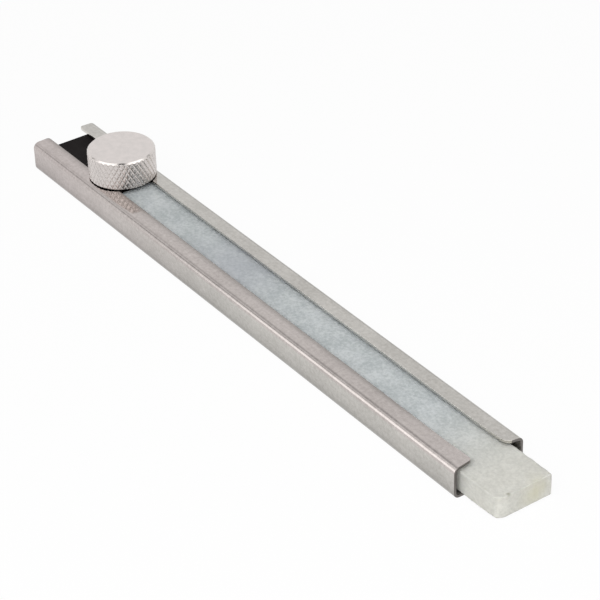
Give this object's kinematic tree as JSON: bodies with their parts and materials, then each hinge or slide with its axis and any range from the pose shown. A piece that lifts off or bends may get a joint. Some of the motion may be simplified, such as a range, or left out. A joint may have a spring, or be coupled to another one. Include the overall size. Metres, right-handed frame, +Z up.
{
  "type": "soapstone holder",
  "caption": "Flat soapstone holder: folded steel channel with inturned lips, a flat soapstone stick inside and a plastic slider locked by a knurled thumb screw.",
  "frame": {"origin": "middle of the channel's flat bottom face", "axes": "+X along the channel, out of the front where the stick shows; +Z up through the open slot, towards the thumb screw; +Y across the channel"},
  "size_m": [0.1601, 0.0162, 0.0137],
  "materials": {
    "channel_steel": "bright rolled sheet, folded, satin",
    "soapstone": "sawn soapstone, matte, slightly waxy",
    "slider_plastic": "moulded black nylon, semi-matte",
    "zinc_steel": "zinc plated",
    "nickel_plate": "nickel plated, diamond knurled side, plain turned top"
  },
  "bodies": {
    "holder": {"channel": "channel_steel"},
    "slider": {"slider_block": "slider_plastic", "captive_nut": "zinc_steel"},
    "washer": {"knob_washer": "zinc_steel"},
    "thumb_screw": {"thumb_knob": "nickel_plate", "threaded_stud": "zinc_steel"},
    "stick": {"soapstone": "soapstone"}
  },
  "joints": [
    {"name": "slider_slide", "type": "slide", "parent": "holder", "child": "slider", "axis": [1, 0, 0], "range_m": [-0.0026, 0.111]},
    {"name": "washer_lift", "type": "slide", "parent": "slider", "child": "washer", "axis": [0, 0, 1], "range_m": [0, 0.00105]},
    {"name": "screw_turn", "type": "hinge", "parent": "washer", "child": "thumb_screw", "pos_m": [-0.051, 0.00065, 0], "axis": [0, 0, 1], "range_deg": [0, 540]},
    {"name": "stick_slide", "type": "slide", "parent": "slider", "child": "stick", "axis": [1, 0, 0], "range_m": [0, 0.012]}
  ],
  "couplings": [
    {"joint": "washer_lift", "follows": "screw_turn", "m_per_rad": 0.00011141}
  ]
}
